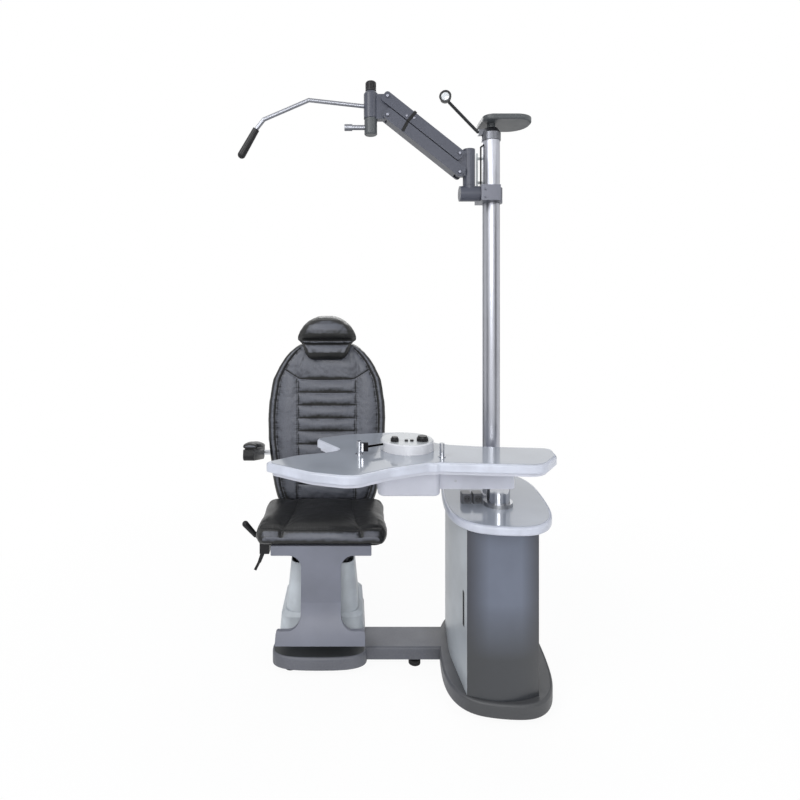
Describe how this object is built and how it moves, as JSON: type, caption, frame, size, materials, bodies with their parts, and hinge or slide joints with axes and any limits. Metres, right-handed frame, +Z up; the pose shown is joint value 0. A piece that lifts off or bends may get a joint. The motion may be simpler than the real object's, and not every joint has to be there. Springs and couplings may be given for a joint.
{
  "type": "ophthalmic examination chair",
  "caption": "Reclining examination chair on a shared base with an instrument console, a swinging winged table on a lift and an overhead balanced instrument arm.",
  "frame": {"origin": "on the floor under the chair's pedestal axis, at the underside of the middle levelling foot", "axes": "+Z up, +X from the chair to the console, the seated patient faces -Y"},
  "size_m": [1.1774, 1.0028, 2.149],
  "materials": {
    "base_paint": "satin grey powder coat",
    "foot_rubber": "black rubber pads",
    "cover_grey": "light grey moulded covers",
    "steel": "plain machined steel",
    "chrome": "bright chrome plate",
    "column_metal": "polished drawn aluminium",
    "cabinet_light": "light grey enamel",
    "front_paint": "dark blue-grey satin enamel",
    "top_edge": "pale glossy moulded edge",
    "top_laminate": "grey glossy laminate",
    "housing_pale": "pale lavender-grey enamel",
    "black_plastic": "black moulded plastic",
    "black_leather": "black upholstery",
    "panel_grey": "mid grey satin enamel",
    "arm_paint": "blue-grey satin enamel",
    "tray_paint": "dark grey moulding",
    "dark_steel": "black painted steel",
    "cable_black": "black jacket",
    "lamp_shell": "black lamp shell with a pale lens",
    "puck_plastic": "near-white moulding"
  },
  "bodies": {
    "stand": {"base_casting": "base_paint", "levelling_feet": "foot_rubber", "pedestal_lower_cover": "cover_grey", "pedestal_upper_cover": "cover_grey", "chair_lift_guide": "steel", "console_cabinet": "cabinet_light", "console_front_panel": "front_paint", "console_top": "top_edge", "console_top_inlay": "top_laminate", "power_supply": "black_plastic", "table_lift_guide": "steel", "main_column": "column_metal", "column_cap": "dark_steel", "instrument_tray": "tray_paint", "socket_block": "black_plastic", "gooseneck": "dark_steel", "column_clamp": "dark_steel", "arm_bracket": "arm_paint", "arm_cable": "cable_black"},
    "chair_lift": {"chair_lift_column": "dark_steel"},
    "seat": {"seat_frame": "dark_steel", "seat_pan": "black_plastic", "seat_cushion": "black_leather", "footrest_panel": "panel_grey", "footrest_step": "black_plastic"},
    "backrest": {"recline_hinge": "dark_steel", "backrest_shell": "black_plastic", "backrest_cushion": "black_leather", "armrest_carrier": "chrome"},
    "headrest": {"headrest_posts": "chrome", "headrest_cushion": "black_leather"},
    "armrest_left": {"armrest_bracket_left": "black_plastic", "armrest_pad_left": "black_leather"},
    "armrest_right": {"armrest_bracket_right": "black_plastic", "armrest_pad_right": "black_leather"},
    "recline_lever": {"recline_lever": "dark_steel", "recline_lever_grip": "black_plastic"},
    "lock_lever": {"lock_lever": "black_plastic"},
    "table_lift": {"table_lift_tube": "chrome", "table_arm_housing": "housing_pale"},
    "table": {"table_support_plate": "housing_pale", "tabletop": "top_edge", "tabletop_inlay": "top_laminate", "table_posts": "chrome", "control_puck": "puck_plastic"},
    "dial_large": {"puck_dial_large": "black_plastic"},
    "dial_small": {"puck_dial_small": "black_plastic"},
    "button_left": {"puck_button_left": "black_plastic"},
    "button_right": {"puck_button_right": "black_plastic"},
    "arm_hub": {"arm_hub": "arm_paint"},
    "upper_link": {"arm_upper_link": "arm_paint", "balance_spring": "steel"},
    "lower_link": {"arm_lower_link": "arm_paint"},
    "arm_head": {"arm_head": "arm_paint", "pull_handle": "chrome", "handle_grip": "black_plastic"},
    "lock_knob": {"lock_knob": "black_plastic"},
    "head_spindle": {"head_spindle": "tray_paint", "instrument_pin": "chrome"},
    "lamp_head": {"lamp_head": "lamp_shell"}
  },
  "joints": [
    {"name": "chair_raise", "type": "slide", "parent": "stand", "child": "chair_lift", "axis": [0, 0, 1], "range_m": [0, 0.18]},
    {"name": "chair_swivel", "type": "hinge", "parent": "chair_lift", "child": "seat", "pos_m": [0, 0, 0.414], "axis": [0, 0, 1], "range_deg": [0, 60]},
    {"name": "backrest_recline", "type": "hinge", "parent": "seat", "child": "backrest", "pos_m": [0, 0.246, 0.452], "axis": [-1, 0, 0], "range_deg": [0, 30]},
    {"name": "headrest_slide", "type": "slide", "parent": "backrest", "child": "headrest", "axis": [0, 0.1564, 0.9877], "range_m": [0, 0.08]},
    {"name": "armrest_left_flip", "type": "hinge", "parent": "backrest", "child": "armrest_left", "pos_m": [-0.298, 0.322, 0.658], "axis": [1, 0, 0], "range_deg": [-85, 0]},
    {"name": "armrest_right_flip", "type": "hinge", "parent": "backrest", "child": "armrest_right", "pos_m": [0.298, 0.322, 0.658], "axis": [1, 0, 0], "range_deg": [-85, 0]},
    {"name": "recline_lever_pull", "type": "hinge", "parent": "seat", "child": "recline_lever", "pos_m": [-0.2, -0.02, 0.398], "axis": [1, 0, 0], "range_deg": [0, 25], "stiffness_Nm_per_rad": 3},
    {"name": "lock_lever_turn", "type": "hinge", "parent": "seat", "child": "lock_lever", "pos_m": [-0.2, 0.052, 0.398], "axis": [1, 0, 0], "range_deg": [-24, 0]},
    {"name": "table_raise", "type": "slide", "parent": "stand", "child": "table_lift", "axis": [0, 0, 1], "range_m": [-0.03, 0.15]},
    {"name": "table_swing", "type": "hinge", "parent": "table_lift", "child": "table", "pos_m": [0.308, -0.321, 0.811], "axis": [0, 0, 1], "range_deg": [-65, 0]},
    {"name": "dial_large_turn", "type": "hinge", "parent": "table", "child": "dial_large", "pos_m": [0.358, -0.351, 0.884], "axis": [0, 0, 1], "range_deg": [-150, 150]},
    {"name": "dial_small_turn", "type": "hinge", "parent": "table", "child": "dial_small", "pos_m": [0.262, -0.357, 0.884], "axis": [0, 0, 1], "range_deg": [-135, 135]},
    {"name": "button_left_press", "type": "slide", "parent": "table", "child": "button_left", "axis": [0, 0, -1], "range_m": [0, 0.002], "stiffness_N_per_m": 300},
    {"name": "button_right_press", "type": "slide", "parent": "table", "child": "button_right", "axis": [0, 0, -1], "range_m": [0, 0.002], "stiffness_N_per_m": 300},
    {"name": "arm_swivel", "type": "hinge", "parent": "stand", "child": "arm_hub", "pos_m": [0.535, -0.27, 1.8], "axis": [0, 0, 1], "range_deg": [-90, 90]},
    {"name": "arm_lift", "type": "hinge", "parent": "arm_hub", "child": "lower_link", "pos_m": [0.497, -0.27, 1.821], "axis": [0, -1, 0], "range_deg": [0, 48]},
    {"name": "arm_lift_upper", "type": "hinge", "parent": "arm_hub", "child": "upper_link", "pos_m": [0.497, -0.27, 1.887], "axis": [0, -1, 0], "range_deg": [0, 48]},
    {"name": "arm_head_level", "type": "hinge", "parent": "lower_link", "child": "arm_head", "pos_m": [0.242, -0.27, 2.0235], "axis": [0, -1, 0], "range_deg": [-48, 0]},
    {"name": "lock_knob_turn", "type": "hinge", "parent": "arm_head", "child": "lock_knob", "pos_m": [0.1834, -0.27, 2.115], "axis": [0, 0, 1], "range_deg": [-180, 180]},
    {"name": "head_turn", "type": "hinge", "parent": "arm_head", "child": "head_spindle", "pos_m": [0.1834, -0.27, 2.017], "axis": [0, 0, 1], "range_deg": [-90, 90]},
    {"name": "lamp_tilt", "type": "hinge", "parent": "stand", "child": "lamp_head", "pos_m": [0.45269, -0.26358, 2.0916], "axis": [1, 0, 0], "range_deg": [-15, 15]}
  ],
  "couplings": [
    {"joint": "arm_lift_upper", "follows": "arm_lift", "ratio": 1},
    {"joint": "arm_head_level", "follows": "arm_lift", "ratio": -1}
  ]
}
